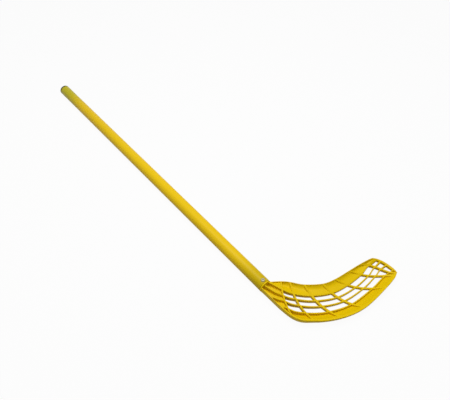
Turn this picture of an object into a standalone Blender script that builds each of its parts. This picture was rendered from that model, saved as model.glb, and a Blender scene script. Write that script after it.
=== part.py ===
"""Plastic indoor hockey stick: moulded slatted blade, tube shaft, end cap and one blind rivet.

Metres, +Z up. The stick lies on its back on Z = 0, its shaft along Y with the handle end at +Y,
its blade towards +X with the hollow front face up. The origin is below the middle of its box.
The pieces are modelled about a datum where the shaft's axis meets the blade's shoulder.
"""

import math

import bmesh
import bpy
import numpy as np
from mathutils import Vector

SEAT_GAP = 0.0003            # left between pieces that seat on each other
TURN_STEPS = 48              # faces round the shaft
SMALL_TURN_STEPS = 24        # faces round the rivet
SMOOTH_BELOW = math.radians(40)
MERGE_DISTANCE = 0.000001

# Shaft, an extruded tube
TUBE_RADIUS = 0.0125
TUBE_WALL = 0.0018
TUBE_LENGTH = 0.780
TUBE_EDGE_BREAK = 0.0004

# End cap, a hollow plug with fins and a rounded head flush with the tube
CAP_HEAD_HEIGHT = 0.0045
CAP_HEAD_ROUNDING = 0.0016
CAP_PLUG_LENGTH = 0.024
CAP_PLUG_WALL = 0.0018
CAP_FIN_DEPTH = 0.0009
CAP_FIN_PITCH = 0.0055
CAP_FIN_SLOPE = 0.0033       # length of each fin's taper
CAP_FIN_COUNT = 3

# Spigot of the blade inside the tube, and the shoulder that the tube stands on
SHOULDER_HEIGHT = 0.0028
SPIGOT_LENGTH = 0.056
SPIGOT_WALL = 0.0026
SPIGOT_LEAD = 0.0012         # chamfer at its mouth
SPIGOT_FLOOR = 0.0015        # solid depth above the shoulder, short of the rivet

# Blind rivet through the front wall of the tube and of the spigot
RIVET_FROM_TUBE_END = 0.0050
RIVET_SHANK_RADIUS = 0.0020
RIVET_BORE_RADIUS = 0.0012
RIVET_HEAD_RADIUS = 0.0039
RIVET_HEAD_HEIGHT = 0.0015
RIVET_HEAD_LAND = 0.0006     # flat ring round the bore
RIVET_DOME_TURN = math.radians(81)  # the head's dome ends short of upright, on a thin brim
RIVET_BULGE = 0.0008         # swelling of its blind end
RIVET_BLIND_LENGTH = 0.0035  # stands free inside the spigot
STEM_RECESS = 0.0004         # the broken stem lies under the head's crown
STEM_KNOB_HEIGHT = 0.0018

# Blade lattice. Ribs stand on a curved sheet. Its plan is ruled between a top edge and a sole
# edge: each station is a rib across the blade, from its end on the top edge to its end on the
# sole, bowed towards the toe (or, where negative, towards the heel) by the last value. The
# first is the neck, which ends just inside the round shoulder, and the last is the toe's edge.
NECK_HALF_HEIGHT = 0.0060
NECK_INSET = 0.0002
NECK_SIDE = math.sqrt(TUBE_RADIUS ** 2 - NECK_HALF_HEIGHT ** 2) - NECK_INSET
STATIONS = (
    ((NECK_SIDE, 0.0), (-NECK_SIDE, 0.0), 0.0),
    ((0.0260, -0.0115), (-0.0070, -0.0735), -0.0040),
    ((0.0390, -0.0235), (0.0175, -0.1045), -0.0065),
    ((0.0545, -0.0425), (0.0535, -0.1285), -0.0065),
    ((0.0825, -0.0635), (0.1000, -0.1430), -0.0065),
    ((0.1070, -0.0715), (0.1655, -0.1430), -0.0080),
    ((0.1390, -0.0765), (0.2035, -0.1368), -0.0045),
    ((0.1650, -0.0810), (0.2053, -0.1332), 0.0032),
    ((0.1910, -0.0865), (0.2062, -0.1300), 0.0080),
)
TOE = len(STATIONS) - 1
TOE_CORNER_REACH = 0.012     # length of each side that the round upper corner takes in
TOE_CORNER_DEPTH = 0.0013    # how far the sides' meeting point is drawn in

# Ribs along the blade: their share of the way from the top edge to the sole, at the neck, the
# first two cross ribs, mid blade, the last cross rib and the toe. Past 1, a rib is in the sole.
LONG_RIB_STATIONS = (0, 1, 2, 5, 7, 8)
LONG_RIBS = (
    (0.17, 0.22, 0.25, 0.245, 0.265, 0.19),
    (0.64, 0.39, 0.385, 0.395, 0.435, 0.345),
    (1.10, 0.55, 0.55, 0.545, 0.585, 0.64),
    (1.50, 0.76, 0.74, 0.69, 0.835, 1.15),
)
SOLE = len(LONG_RIBS)        # the band below the last long rib, up to the sole's rim
RIB_WIDTH = 0.0024
NECK_RIB_WIDTH = 0.0022
TOP_RIM_WIDTH = 0.0016
RIM_WIDTH = 0.0028           # along the sole and the toe
WEB_THICKNESS = 0.0018
ROW_CROWDING = 0.0003        # least distance between the edges of ribs that run together
SOLE_MEASURED_SHARE = 0.7    # beyond this share, the lattice narrows to the toe's lower corner
PLACE_PASSES = 5             # a rib's place along and across the blade depend on each other

# Section of the blade at the neck, the first, third and fifth rib and the toe: heights of the
# front face at the top edge, mid blade and the sole, and thickness at mid blade and the edges.
SECTION_STATIONS = (0, 1, 3, 5, 8)
TOP_HEIGHT = (0.0060, 0.0060, 0.0040, 0.0035, 0.0090)
MIDDLE_HEIGHT = (0.0085, 0.0040, -0.0050, -0.0065, 0.0035)
SOLE_HEIGHT = (0.0060, 0.0060, 0.0040, 0.0035, 0.0045)
THICKNESS_MIDDLE = (0.0175, 0.0105, 0.0068, 0.0055, 0.0065)
THICKNESS_EDGE = (2 * NECK_HALF_HEIGHT, 0.0105, 0.0060, 0.0048, 0.0055)

# Depth of the pockets between the ribs. Every pocket is shallower where its ribs close up. In
# the upper band the web falls to the back at the top edge and to the front at the first long
# rib; in the lower band it rises from the back to meet the front short of the sole's rim.
POCKET_CLOSED = 0.0012       # gap between ribs at which a pocket ends
POCKET_OPEN = 0.0035         # gap from which it has its full depth
POCKET_LEAST = 0.00005       # a shallower pocket is left out
BAND_FLUSH_SHARE = 0.88
HEEL_POCKET_SHARES = (0.45, 0.18)  # front share of the free depth at the neck, at the first rib
HEEL_TOP_SHARE = 0.25        # the same in the heel's uppermost pocket, at the top edge

COLUMN_LENGTH = 0.009        # longest faces along an edge of the blade
UPPER_BAND_ROWS = (1 / 3, 2 / 3)
LOWER_BAND_ROWS = (0.3, 0.6, BAND_FLUSH_SHARE)

YELLOW = (0.86, 0.62, 0.03)
YELLOW_BLADE = (0.84, 0.58, 0.02)
CAP_BLACK = (0.025, 0.028, 0.020)
RIVET_GREY = (0.78, 0.77, 0.74)
STEM_GREY = (0.35, 0.34, 0.33)


def clear_scene():
    """Removes what the scene holds."""
    for item in list(bpy.data.objects):
        bpy.data.objects.remove(item, do_unlink=True)


def material(name, colour, roughness, metallic=0.0):
    """One Principled material."""
    made = bpy.data.materials.new(name)
    made.use_nodes = True
    shader = made.node_tree.nodes["Principled BSDF"]
    shader.inputs["Base Color"].default_value = (*colour, 1.0)
    shader.inputs["Roughness"].default_value = roughness
    shader.inputs["Metallic"].default_value = metallic
    made.diffuse_color = (*colour, 1.0)
    return made


def add_object(name, mesh, finish=None):
    """Links a mesh to the scene as a named object."""
    made = bpy.data.objects.new(name, mesh)
    bpy.context.collection.objects.link(made)
    if finish is not None:
        mesh.materials.append(finish)
    return made


def as_guide(shape):
    """Marks a shape that only serves another one's Boolean."""
    shape.hide_render = True
    shape.display_type = "WIRE"
    return shape


def boolean(target, tool, operation):
    """Adds a Boolean modifier with the exact solver."""
    step = target.modifiers.new(operation.lower() + "_" + tool.name, "BOOLEAN")
    step.operation = operation
    step.solver = "EXACT"
    step.object = as_guide(tool)


def finished(name, body, finish=None):
    """Links a bmesh as an object, its faces out and its rounds smooth."""
    bmesh.ops.recalc_face_normals(body, faces=body.faces)
    mesh = bpy.data.meshes.new(name)
    body.to_mesh(mesh)
    body.free()
    mesh.shade_smooth()
    mesh.set_sharp_from_angle(angle=SMOOTH_BELOW)
    return add_object(name, mesh, finish)


def turned(name, outline, finish=None, steps=TURN_STEPS):
    """A piece turned about its own Z. Its outline of (radius, height) points runs down the outer
    side. It ends on the axis at both ends, or else it is a closed loop."""
    body = bmesh.new()
    verts = [body.verts.new((radius, 0.0, height)) for radius, height in outline]
    edges = [body.edges.new(pair) for pair in zip(verts[:-1], verts[1:])]
    if outline[0][0] > 0.0:
        edges.append(body.edges.new((verts[-1], verts[0])))
    bmesh.ops.spin(body, geom=verts + edges, cent=(0.0, 0.0, 0.0), axis=(0.0, 0.0, 1.0),
                   angle=2 * math.pi, steps=steps, use_merge=True)
    bmesh.ops.remove_doubles(body, verts=body.verts, dist=MERGE_DISTANCE)
    return finished(name, body, finish)


def along_shaft(piece, distance):
    """Lays a turned piece along the shaft, its own Z towards the handle end."""
    piece.rotation_euler = (-math.pi / 2, 0.0, 0.0)
    piece.location = (0.0, distance, 0.0)


def curve_through(knots, values, at):
    """A smooth curve through values or points at the knots: cubic pieces that share, at each
    knot, the mean of the slopes on its two sides, held to twice the lesser one."""
    knots = np.asarray(knots, float)
    points = np.asarray(values, float).reshape(len(knots), -1)
    sides = np.diff(points, axis=0) / np.diff(knots)[:, None]
    mean = (sides[:-1] + sides[1:]) / 2
    steep = np.linalg.norm(sides, axis=1)
    most = 2 * np.minimum(steep[:-1], steep[1:])
    held = np.minimum(1.0, most / np.maximum(np.linalg.norm(mean, axis=1), 1e-9))
    slopes = np.concatenate([sides[:1], mean * held[:, None], sides[-1:]])
    piece = np.clip(np.searchsorted(knots, at, side="right") - 1, 0, len(knots) - 2)
    length = knots[piece + 1] - knots[piece]
    t = ((at - knots[piece]) / length)[..., None]
    length = length[..., None]
    curve = ((2 * t ** 3 - 3 * t ** 2 + 1) * points[piece]
             + (t ** 3 - 2 * t ** 2 + t) * length * slopes[piece]
             + (3 * t ** 2 - 2 * t ** 3) * points[piece + 1]
             + (t ** 3 - t ** 2) * length * slopes[piece + 1])
    return curve if np.ndim(values) > 1 else curve[..., 0]


def plan(s, v):
    """Plan position at station s and at share v of the way from the top edge to the sole: on the
    chord between the two edges, pushed sideways by a parabola as high as the station's bow. The
    toe's upper corner is rounded: what lies near it is drawn in, more with the square of how
    near it is."""
    knots = range(len(STATIONS))
    top = curve_through(knots, [station[0] for station in STATIONS], s)
    sole = curve_through(knots, [station[1] for station in STATIONS], s)
    bow = curve_through(knots, [station[2] for station in STATIONS], s)
    chord = sole - top
    across = np.stack([-chord[..., 1], chord[..., 0]], axis=-1)
    across /= np.linalg.norm(across, axis=-1, keepdims=True)
    flat = top + chord * v[..., None] + across * (4 * v * (1 - v) * bow)[..., None]
    corner, before, after = (np.array(end) for end in (
        STATIONS[TOE][0], STATIONS[TOE - 1][0], STATIONS[TOE][1]))
    inward = sum((end - corner) / np.linalg.norm(end - corner) for end in (before, after))
    near = np.clip(1 - np.linalg.norm(flat - corner, axis=-1) / TOE_CORNER_REACH, 0.0, None)
    return flat + inward / np.linalg.norm(inward) * (TOE_CORNER_DEPTH * near ** 2)[..., None]


def spacing(s, v):
    """Distances in plan between neighbouring stations, square to the cross ribs, and between the
    two edges, square to the long ribs, at (s, v)."""
    step = 0.001
    along = (plan(s + step, v) - plan(s - step, v)) / (2 * step)
    across = (plan(s, v + step) - plan(s, v - step)) / (2 * step)
    area = np.abs(along[..., 0] * across[..., 1] - along[..., 1] * across[..., 0])
    return area / np.linalg.norm(across, axis=-1), area / np.linalg.norm(along, axis=-1)


def front_and_back(s, v):
    """Heights of the front and back faces of a rib: parabolas across the blade."""
    top, middle, sole, thick, thin = (
        curve_through(SECTION_STATIONS, values, s)
        for values in (TOP_HEIGHT, MIDDLE_HEIGHT, SOLE_HEIGHT, THICKNESS_MIDDLE, THICKNESS_EDGE))
    edge_share = (2 * v - 1) ** 2
    front = middle + (2 * v - 1) * (sole - top) / 2 + edge_share * ((top + sole) / 2 - middle)
    return front, front - thick - (thin - thick) * edge_share


def column_lines():
    """The lattice's lines across the blade, heel to toe: (station, distance from it in plan)
    pairs to be blended by a share, and the bay that the strip after the line belongs to, or
    None where that strip is a rib."""
    half = RIB_WIDTH / 2
    lines = [((0, -SHOULDER_HEIGHT / 2), (0, -SHOULDER_HEIGHT / 2), 0.0, None)]
    for bay in range(TOE):
        begin = (0, 0.0) if bay == 0 else (bay, half)
        end = (TOE, -RIM_WIDTH) if bay == TOE - 1 else (bay + 1, -half)
        longest = max(math.dist(STATIONS[bay][edge], STATIONS[bay + 1][edge]) for edge in (0, 1))
        count = math.ceil(longest / COLUMN_LENGTH)
        lines += [(begin, end, k / count, bay) for k in range(count)]
        lines.append((begin, end, 1.0, None))
    lines.append(((TOE, 0.0), (TOE, 0.0), 0.0, None))
    return lines


def row_lines():
    """The lattice's lines along the blade, top edge to sole: (strip, share of its width), where
    strips lie between neighbouring rib edges, and the band that the strip is, or None where it
    is a rib."""
    lines = []
    for strip in range(2 * SOLE + 3):
        if strip % 2 == 0:
            lines.append((strip, 0.0, None))
            continue
        band = strip // 2
        inner = {0: UPPER_BAND_ROWS, SOLE: LOWER_BAND_ROWS}.get(band, ())
        lines += [(strip, share, band) for share in (0.0, *inner)]
    lines.append((2 * SOLE + 2, 1.0, None))
    return lines


def column_places(lines, v):
    """Stations of the lines across the blade at the shares v, columns by rows. The toe's rim
    tapers to its lower corner, so its width is measured at mid blade."""
    ends = []
    for end in (0, 1):
        station = np.array([line[end][0] for line in lines], float)[:, None] + 0 * v
        distance = np.array([line[end][1] for line in lines])[:, None]
        beside = np.where(station == TOE, 0.5, v)
        ends.append(station + distance / spacing(station, beside)[0])
    share = np.array([line[2] for line in lines])[:, None]
    return ends[0] * (1 - share) + ends[1] * share


def rib_edges(s):
    """Shares v of all rib edges at the stations s, from the top edge to the sole, on a new last
    axis. Ribs that run together, or run into the sole, keep the crowding distance."""
    edges = [np.zeros_like(s), TOP_RIM_WIDTH / spacing(s, np.zeros_like(s))[1]]
    width = NECK_RIB_WIDTH + (RIB_WIDTH - NECK_RIB_WIDTH) * np.clip(s, 0.0, 1.0)
    for rib in LONG_RIBS:
        centre = curve_through(LONG_RIB_STATIONS, rib, s)
        half = width / 2 / spacing(s, np.clip(centre, 0.0, SOLE_MEASURED_SHARE))[1]
        edges += [centre - half, centre + half]
    edges += [1 - RIM_WIDTH / spacing(s, np.full_like(s, SOLE_MEASURED_SHARE))[1], np.ones_like(s)]
    edges = np.stack(edges, axis=-1)
    order = np.arange(edges.shape[-1])
    step = ROW_CROWDING / spacing(s, np.full_like(s, 0.5))[1][..., None] * order
    edges = np.maximum.accumulate(edges - step, axis=-1) + step
    edges[..., -1] = 1.0
    flipped = (edges - step)[..., ::-1]
    return np.minimum.accumulate(flipped, axis=-1)[..., ::-1] + step


def lattice_places(columns, rows):
    """Stations and shares where the lines cross, columns by rows, and all rib edges there."""
    strip = np.array([row[0] for row in rows])
    share = np.array([row[1] for row in rows])
    pick = np.arange(len(rows))
    v = np.tile(np.linspace(0.0, 1.0, len(rows)), (len(columns), 1))
    for _ in range(PLACE_PASSES):
        s = column_places(columns, v)
        edges = rib_edges(s)
        v = edges[:, pick, strip] * (1 - share) + edges[:, pick, strip + 1] * share
    return s, v, edges


def recesses(s, bay, band, share, gap, thickness):
    """How deep a web lies under the front and under the back face of the ribs, at a share of the
    way across its band, where the ribs beside it are this gap apart."""
    opened = min(max((gap - POCKET_CLOSED) / (POCKET_OPEN - POCKET_CLOSED), 0.0), 1.0)
    free = (thickness - WEB_THICKNESS) * opened * opened * (3 - 2 * opened)
    if bay == 0 and band == 0:
        deep = HEEL_TOP_SHARE * (1 - share)
    elif bay == 0:
        neck, first = HEEL_POCKET_SHARES
        deep = neck + (first - neck) * min(max(s, 0.0), 1.0)
    elif band == 0:
        deep = 1 - share
    else:
        deep = max(1 - share / BAND_FLUSH_SHARE, 0.0)
    return [0.0 if depth < POCKET_LEAST else depth for depth in (free * deep, free * (1 - deep))]


def blade_lattice(name, finish):
    """The slatted blade as one closed body. Every cell of the lattice is a window, a rib or a
    web; walls join cells of unlike height and line the windows and the outline."""
    columns, rows = column_lines(), row_lines()
    s, v, edges = lattice_places(columns, rows)
    flat = plan(s, v)
    front, back = front_and_back(s, v)
    across = spacing(s, v)[1]

    def kind(i, j):
        """Window, rib or web of the cell after lines i and j; None beyond the lattice."""
        if not (0 <= i < len(columns) - 1 and 0 <= j < len(rows) - 1):
            return None
        bay, band = columns[i][3], rows[j][2]
        if bay is None or band is None:
            return "rib"
        if bay > 0 and 0 < band < SOLE:
            return None
        return "web"

    def levels(i, j, ci, cj):
        """Front and back height at corner (ci, cj) of the cell after lines i and j."""
        high, low = front[ci, cj], back[ci, cj]
        if kind(i, j) == "web":
            band = rows[j][2]
            share = rows[cj][1] if rows[cj][2] == band else 1.0
            upper, lower = edges[ci, cj, 2 * band + 1:2 * band + 3]
            down, up = recesses(s[ci, cj], columns[i][3], band, share,
                                (lower - upper) * across[ci, cj], high - low)
            return high - down, low + up
        return high, low

    body = bmesh.new()
    corners = {}

    def corner(ci, cj, height):
        """The vertex at a corner and height, made once."""
        key = (ci, cj, round(height / MERGE_DISTANCE))
        if key not in corners:
            corners[key] = body.verts.new((flat[ci, cj][0], flat[ci, cj][1], height))
        return corners[key]

    def face(points):
        """A face through (column, row, height) points, less those that fall together."""
        verts = []
        for point in points:
            vert = corner(*point)
            if vert not in verts:
                verts.append(vert)
        if len(verts) > 2:
            body.faces.new(verts)

    def wall(i, j, other, ends):
        """Walls down one side of the cell, wherever the cell beyond is lower or missing."""
        here = [levels(i, j, *end) for end in ends]
        if kind(*other) is None:
            (a_top, a_low), (b_top, b_low) = here
            face([(*ends[0], a_top), (*ends[1], b_top), (*ends[1], b_low), (*ends[0], a_low)])
            return
        there = [levels(*other, *end) for end in ends]
        for side, sign in ((0, 1), (1, -1)):
            drop = [(here[k][side] - there[k][side]) * sign for k in (0, 1)]
            if max(drop) > MERGE_DISTANCE:
                face([(*ends[0], here[0][side]), (*ends[1], here[1][side]),
                      (*ends[1], there[1][side]), (*ends[0], there[0][side])])

    for i in range(len(columns) - 1):
        for j in range(len(rows) - 1):
            if kind(i, j) is None:
                continue
            ring = [(i, j), (i + 1, j), (i + 1, j + 1), (i, j + 1)]
            face([(*at, levels(i, j, *at)[0]) for at in ring])
            face([(*at, levels(i, j, *at)[1]) for at in reversed(ring)])
            wall(i, j, (i, j - 1), (ring[0], ring[1]))
            wall(i, j, (i + 1, j), (ring[1], ring[2]))
            wall(i, j, (i, j + 1), (ring[2], ring[3]))
            wall(i, j, (i - 1, j), (ring[3], ring[0]))
    return finished(name, body, finish)


def rivet_axis():
    """Where the rivet's axis crosses the shaft's axis."""
    return Vector((0.0, SHOULDER_HEIGHT + SEAT_GAP + RIVET_FROM_TUBE_END, 0.0))


def rivet_hole(name):
    """A cutter for the hole that the rivet's shank passes, through the front wall only."""
    radius = RIVET_SHANK_RADIUS + SEAT_GAP
    hole = turned(name, [(0.0, 2 * TUBE_RADIUS), (radius, 2 * TUBE_RADIUS),
                         (radius, 0.0), (0.0, 0.0)], steps=SMALL_TURN_STEPS)
    hole.location = rivet_axis()
    return hole


def make_tube(finish):
    """The shaft: a plain tube with broken edges and the rivet's hole near its lower end."""
    outer, inner, end = TUBE_RADIUS, TUBE_RADIUS - TUBE_WALL, TUBE_EDGE_BREAK
    tube = turned("shaft_tube", [
        (outer - end, TUBE_LENGTH), (outer, TUBE_LENGTH - end), (outer, end), (outer - end, 0.0),
        (inner + end, 0.0), (inner, end), (inner, TUBE_LENGTH - end), (inner + end, TUBE_LENGTH),
    ], finish)
    along_shaft(tube, SHOULDER_HEIGHT + SEAT_GAP)
    boolean(tube, rivet_hole("tube_hole"), "DIFFERENCE")
    return tube


def make_blade(finish):
    """The blade moulding: lattice, shoulder and hollow spigot in one body."""
    blade = blade_lattice("blade", finish)
    radius = TUBE_RADIUS - TUBE_WALL - SEAT_GAP
    bore = radius - SPIGOT_WALL
    floor = SHOULDER_HEIGHT + SPIGOT_FLOOR
    top = SHOULDER_HEIGHT + SPIGOT_LENGTH
    spigot = turned("spigot", [
        (0.0, floor), (bore, floor), (bore, top), (radius - SPIGOT_LEAD, top),
        (radius, top - SPIGOT_LEAD), (radius, SHOULDER_HEIGHT), (TUBE_RADIUS, SHOULDER_HEIGHT),
        (TUBE_RADIUS, 0.0), (0.0, 0.0),
    ])
    along_shaft(spigot, 0.0)
    boolean(blade, spigot, "UNION")
    boolean(blade, rivet_hole("spigot_hole"), "DIFFERENCE")
    return blade


def make_cap(finish):
    """The end cap: rounded head flush with the tube, hollow plug with three fins below it."""
    steps = 4
    rim = [(TUBE_RADIUS - CAP_HEAD_ROUNDING * (1 - math.sin(k / steps * math.pi / 2)),
            CAP_HEAD_HEIGHT - CAP_HEAD_ROUNDING * (1 - math.cos(k / steps * math.pi / 2)))
           for k in range(steps + 1)]
    fit = TUBE_RADIUS - TUBE_WALL - SEAT_GAP
    core = fit - CAP_FIN_DEPTH
    fins = []
    for k in range(CAP_FIN_COUNT):
        crest = -SEAT_GAP - CAP_FIN_PITCH * k - CAP_FIN_SLOPE
        fins += [(core, crest), (fit, crest), (core, crest - CAP_FIN_SLOPE)]
    outline = [(0.0, CAP_HEAD_HEIGHT), *rim, (TUBE_RADIUS, 0.0), (core, 0.0), *fins,
               (core, -CAP_PLUG_LENGTH), (core - CAP_PLUG_WALL, -CAP_PLUG_LENGTH),
               (core - CAP_PLUG_WALL, 0.0), (0.0, 0.0)]
    cap = turned("end_cap", outline, finish)
    along_shaft(cap, SHOULDER_HEIGHT + TUBE_LENGTH + 2 * SEAT_GAP)
    return cap


def make_rivet(body_finish, stem_finish):
    """The set rivet: a body with a domed head on the crown of the tube and a swollen blind end,
    and the broken stem inside it."""
    under_spigot = TUBE_RADIUS - TUBE_WALL - SEAT_GAP - SPIGOT_WALL
    blind = under_spigot - RIVET_BLIND_LENGTH
    brim = TUBE_RADIUS + SEAT_GAP
    crown = brim + RIVET_HEAD_HEIGHT
    bore, shank, head = RIVET_BORE_RADIUS, RIVET_SHANK_RADIUS, RIVET_HEAD_RADIUS
    land = bore + RIVET_HEAD_LAND
    dome = [(land + (head - land) * math.sin(angle), brim + RIVET_HEAD_HEIGHT * math.cos(angle))
            for angle in np.linspace(0.0, RIVET_DOME_TURN, 5)]
    swell = under_spigot - RIVET_BULGE
    body = turned("rivet_body", [
        (bore, crown), *dome, (head, brim), (shank, brim), (shank, swell),
        (shank + RIVET_BULGE, swell - RIVET_BULGE), (shank, blind), (bore, blind),
    ], body_finish, SMALL_TURN_STEPS)
    body.location = rivet_axis()

    stem_radius = bore - SEAT_GAP
    seat = blind - SEAT_GAP
    knob = seat - STEM_KNOB_HEIGHT
    stem = turned("rivet_stem", [
        (0.0, crown - STEM_RECESS), (stem_radius, crown - STEM_RECESS), (stem_radius, seat),
        (shank, seat), (shank, (seat + knob) / 2), (stem_radius, knob), (0.0, knob),
    ], stem_finish, SMALL_TURN_STEPS)
    stem.location = rivet_axis()
    return body, stem


def stand_on_floor(pieces):
    """Parents the pieces to an empty that brings the middle of their box's base to the origin."""
    bpy.context.view_layer.update()
    graph = bpy.context.evaluated_depsgraph_get()
    corners = []
    for piece in pieces:
        ready = piece.evaluated_get(graph)
        corners += [ready.matrix_world @ Vector(corner) for corner in ready.bound_box]
    corners = np.array(corners)
    low, high = corners.min(axis=0), corners.max(axis=0)
    stick = bpy.data.objects.new("stick", None)
    bpy.context.collection.objects.link(stick)
    for item in list(bpy.context.collection.objects):
        if item is not stick:
            item.parent = stick
    stick.location = (-(low[0] + high[0]) / 2, -(low[1] + high[1]) / 2, -low[2])


def main():
    """Builds the stick."""
    clear_scene()
    shaft = material("shaft_plastic", YELLOW, 0.38)
    moulding = material("blade_plastic", YELLOW_BLADE, 0.35)
    cap_finish = material("cap_plastic", CAP_BLACK, 0.5)
    rivet_finish = material("rivet_aluminium", RIVET_GREY, 0.35, 1.0)
    stem_finish = material("rivet_steel", STEM_GREY, 0.45, 1.0)
    pieces = [make_blade(moulding), make_tube(shaft), make_cap(cap_finish)]
    pieces += make_rivet(rivet_finish, stem_finish)
    stand_on_floor(pieces)


main()
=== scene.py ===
"""Looks of a plastic indoor hockey stick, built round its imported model.

Metres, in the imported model's frame. The shaft lies along Y with its handle end at +Y, the blade
reaches towards +X, and +Z is up, out of the blade's hollow face. Places on the stick are
measured from the datum, where the shaft's axis meets the blade's shoulder.
"""

import math

import bmesh
import bpy
import numpy as np
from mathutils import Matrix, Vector


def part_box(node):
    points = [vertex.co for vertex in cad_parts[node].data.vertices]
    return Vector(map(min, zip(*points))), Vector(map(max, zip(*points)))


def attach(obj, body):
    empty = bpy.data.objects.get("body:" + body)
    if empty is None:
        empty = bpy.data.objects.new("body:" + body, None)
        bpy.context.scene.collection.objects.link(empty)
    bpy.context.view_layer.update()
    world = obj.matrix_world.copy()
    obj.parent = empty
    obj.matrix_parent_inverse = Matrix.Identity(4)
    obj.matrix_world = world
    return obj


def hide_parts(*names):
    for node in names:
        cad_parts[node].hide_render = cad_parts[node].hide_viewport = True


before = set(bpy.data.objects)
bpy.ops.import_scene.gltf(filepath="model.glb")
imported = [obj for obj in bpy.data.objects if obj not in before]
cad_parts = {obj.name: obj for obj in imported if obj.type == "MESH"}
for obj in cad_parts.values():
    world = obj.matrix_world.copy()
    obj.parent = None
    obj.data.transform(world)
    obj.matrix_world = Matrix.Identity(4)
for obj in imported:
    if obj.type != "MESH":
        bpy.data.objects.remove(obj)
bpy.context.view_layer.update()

# Shaft, from the CAD's boxes, and the datum on its axis
SEAT_GAP = 0.0003            # left between pieces that seat on each other
SHOULDER_HEIGHT = 0.0028
SHOULDER_ROUNDING = 0.0004
TUBE_LOW, TUBE_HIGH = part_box("shaft_tube")
TUBE_RADIUS = (TUBE_HIGH.x - TUBE_LOW.x) / 2
TUBE_LENGTH = TUBE_HIGH.y - TUBE_LOW.y
TUBE_WALL = 0.0018
TUBE_EDGE_ROUNDING = 0.0004
DATUM = Vector(((TUBE_LOW.x + TUBE_HIGH.x) / 2, TUBE_LOW.y - SHOULDER_HEIGHT - SEAT_GAP,
                (TUBE_LOW.z + TUBE_HIGH.z) / 2))

# Spigot of the blade inside the tube
SPIGOT_LENGTH = 0.056
SPIGOT_WALL = 0.0026
SPIGOT_LEAD = 0.0012         # chamfer at its mouth
SPIGOT_FLOOR = 0.0015        # solid depth above the shoulder

# End cap
CAP_LOW, CAP_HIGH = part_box("end_cap")
CAP_HEAD_ROUNDING = 0.0016
CAP_PLUG_WALL = 0.0018
CAP_FIN_DEPTH = 0.0009
CAP_FIN_PITCH = 0.0055
CAP_FIN_SLOPE = 0.0033       # length of each fin's taper
CAP_FIN_COUNT = 3

# Blind rivet
RIVET_LOW, RIVET_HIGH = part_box("rivet_body")
RIVET_SHANK_RADIUS = 0.0020
RIVET_BORE_RADIUS = 0.0012
RIVET_HEAD_RADIUS = 0.0039
RIVET_HEAD_HEIGHT = 0.0015
RIVET_HEAD_LAND = 0.0006     # flat ring round the bore
RIVET_DOME_TURN = math.radians(81)  # the head's dome ends short of upright, on a thin brim
RIVET_BULGE = 0.0008         # swelling of its blind end
RIVET_BLIND_LENGTH = 0.0035
STEM_RECESS = 0.0004         # the broken stem lies under the head's crown
STEM_KNOB_HEIGHT = 0.0018

# Blade lattice, laid out as in the CAD, but each rib has its own place and width. Its plan is
# ruled between a top edge and a sole edge. Each station is a rib across the blade: its end on
# the top edge, its end on the sole, how far it bows between them and how far it sags near the
# sole, both towards the toe or, where negative, towards the heel. The first is the neck, which
# ends just inside the round shoulder, and the last is the toe's edge.
NECK_HALF_HEIGHT = 0.0060
NECK_INSET = 0.0002
NECK_SIDE = math.sqrt(TUBE_RADIUS ** 2 - NECK_HALF_HEIGHT ** 2) - NECK_INSET
STATIONS = (
    ((NECK_SIDE, 0.0), (-NECK_SIDE, 0.0), 0.0, 0.0),
    ((0.0266, -0.0119), (-0.0070, -0.0735), -0.0035, 0.0),
    ((0.0385, -0.0231), (0.0175, -0.1045), -0.0062, 0.0),
    ((0.0551, -0.0430), (0.0578, -0.1298), -0.0047, 0.0),
    ((0.0821, -0.0632), (0.1048, -0.1433), -0.0040, 0.0),
    ((0.1065, -0.0713), (0.1690, -0.1426), -0.0052, 0.0),
    ((0.1390, -0.0765), (0.2025, -0.1386), -0.0029, 0.0012),
    ((0.1621, -0.0805), (0.2054, -0.1386), 0.0100, -0.0066),
    ((0.1925, -0.0870), (0.2075, -0.1388), 0.0082, -0.0019),
)
TOE = len(STATIONS) - 1
SAG_PEAK = 0.75              # share of the way to the sole at which a rib sags most
CROSS_RIB_WIDTHS = (0.0026, 0.0030, 0.0040, 0.0038, 0.0032, 0.0025, 0.0029)
TOE_RIM_WIDTHS = (0.0034, 0.0058)  # at the top edge, and what it grows towards at the sole

# The toe's corners: on the top edge (0) or the sole (1), the station that the side along that
# edge comes from, how much of each side the corner takes in, and how far it is drawn in
TOE_CORNERS = ((0, 6, 0.012, 0.0012), (1, 5, 0.016, 0.0043))

# Ribs along the blade: their share of the way from the top edge to the sole, at the neck, the
# first two cross ribs, mid blade, the last cross rib and the toe. Past 1, a rib is in the sole.
LONG_RIB_STATIONS = (0, 1, 2, 5, 7, 8)
LONG_RIBS = (
    (0.17, 0.22, 0.25, 0.257, 0.270, 0.155),
    (0.64, 0.39, 0.381, 0.413, 0.427, 0.324),
    (1.10, 0.55, 0.543, 0.563, 0.575, 0.560),
    (1.50, 0.76, 0.745, 0.725, 0.80, 0.82),
)
SOLE = len(LONG_RIBS)        # the band below the last long rib, up to the sole's rim
LONG_RIB_WIDTH = 0.0024
NECK_RIB_WIDTH = 0.0022      # the same at the neck
TOP_RIM_WIDTH = 0.0016
RIM_WIDTH = 0.0028           # along the sole
WEB_THICKNESS = 0.0018
ROW_CROWDING = 0.0003        # least distance between the edges of ribs that run together
SOLE_MEASURED_SHARE = 0.7    # beyond this share, the lattice narrows to the toe's lower corner
PLACE_PASSES = 5             # a rib's place along and across the blade depend on each other
SPACING_STEP = 0.001         # of a station or of a share, for slopes

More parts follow.
